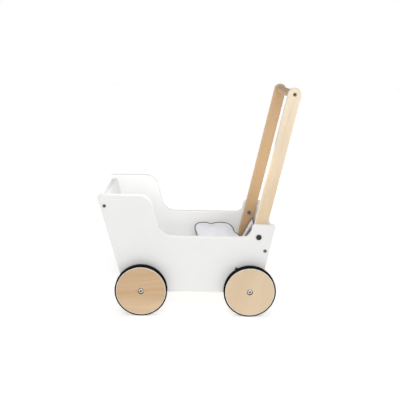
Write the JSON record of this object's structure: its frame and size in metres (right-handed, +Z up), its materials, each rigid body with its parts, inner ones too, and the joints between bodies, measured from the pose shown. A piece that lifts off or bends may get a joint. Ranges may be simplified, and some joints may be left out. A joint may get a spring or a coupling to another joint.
{
  "type": "doll stroller",
  "caption": "Wooden doll stroller: an open painted cradle with a raised hood end on rubber-tyred wooden wheels, pushed by two leaning arms and a dowel.",
  "frame": {"origin": "on the ground under the middle of the stroller's box", "axes": "+X from the hood end towards the handle, +Y across the stroller from the wheels named left to the wheels named right, +Z up"},
  "size_m": [0.4521, 0.3, 0.5272],
  "materials": {
    "white_paint": "satin white paint on board",
    "wheel_birch": "clear matt lacquer on pale birch",
    "handle_birch": "clear satin lacquer on pale birch",
    "beam_wood": "planed, unpainted",
    "tyre_rubber": "matt black rubber",
    "bright_steel": "zinc plated",
    "black_steel": "black oxide",
    "bush_plastic": "natural nylon",
    "grey_cloth": "plain cotton weave with dark grey piping",
    "print_cloth": "printed cotton weave with dark grey piping"
  },
  "bodies": {
    "carriage": {"side_panel_left": "white_paint", "side_panel_right": "white_paint", "front_panel": "white_paint", "rear_panel": "white_paint", "floor_panel": "white_paint", "axle_beam_front": "beam_wood", "axle_beam_rear": "beam_wood", "wheel_bush_front_left": "bush_plastic", "wheel_washer_front_left": "bright_steel", "axle_bolt_front_left": "bright_steel", "insert_nut_front_left": "bright_steel", "wheel_bush_front_right": "bush_plastic", "wheel_washer_front_right": "bright_steel", "axle_bolt_front_right": "bright_steel", "insert_nut_front_right": "bright_steel", "wheel_bush_rear_left": "bush_plastic", "wheel_washer_rear_left": "bright_steel", "axle_bolt_rear_left": "bright_steel", "insert_nut_rear_left": "bright_steel", "wheel_bush_rear_right": "bush_plastic", "wheel_washer_rear_right": "bright_steel", "axle_bolt_rear_right": "bright_steel", "insert_nut_rear_right": "bright_steel", "handle_arm_left": "handle_birch", "handle_end_screw_left": "black_steel", "arm_bolt_left": "black_steel", "arm_sleeve_nut_left": "bright_steel", "handle_arm_right": "handle_birch", "handle_end_screw_right": "black_steel", "arm_bolt_right": "black_steel", "arm_sleeve_nut_right": "bright_steel", "handle_dowel": "handle_birch", "screw_front_upper_left": "black_steel", "screw_front_lower_left": "black_steel", "screw_floor_front_left": "black_steel", "screw_rear_upper_left": "black_steel", "screw_rear_lower_left": "black_steel", "screw_floor_rear_left": "black_steel", "screw_front_upper_right": "black_steel", "screw_front_lower_right": "black_steel", "screw_floor_front_right": "black_steel", "screw_rear_upper_right": "black_steel", "screw_rear_lower_right": "black_steel", "screw_floor_rear_right": "black_steel", "pillow_plain": "grey_cloth", "pillow_print": "print_cloth"},
    "wheel_front_left": {"wheel_disc_front_left": "wheel_birch", "tyre_front_left": "tyre_rubber"},
    "wheel_front_right": {"wheel_disc_front_right": "wheel_birch", "tyre_front_right": "tyre_rubber"},
    "wheel_rear_left": {"wheel_disc_rear_left": "wheel_birch", "tyre_rear_left": "tyre_rubber"},
    "wheel_rear_right": {"wheel_disc_rear_right": "wheel_birch", "tyre_rear_right": "tyre_rubber"}
  },
  "joints": [
    {"name": "wheel_front_left_spin", "type": "hinge", "parent": "carriage", "child": "wheel_front_left", "pos_m": [-0.1268, -0.142, 0.0608], "axis": [0, 1, 0], "continuous": true},
    {"name": "wheel_front_right_spin", "type": "hinge", "parent": "carriage", "child": "wheel_front_right", "pos_m": [-0.1268, 0.142, 0.0608], "axis": [0, 1, 0], "continuous": true},
    {"name": "wheel_rear_left_spin", "type": "hinge", "parent": "carriage", "child": "wheel_rear_left", "pos_m": [0.1252, -0.142, 0.0608], "axis": [0, 1, 0], "continuous": true},
    {"name": "wheel_rear_right_spin", "type": "hinge", "parent": "carriage", "child": "wheel_rear_right", "pos_m": [0.1252, 0.142, 0.0608], "axis": [0, 1, 0], "continuous": true}
  ]
}
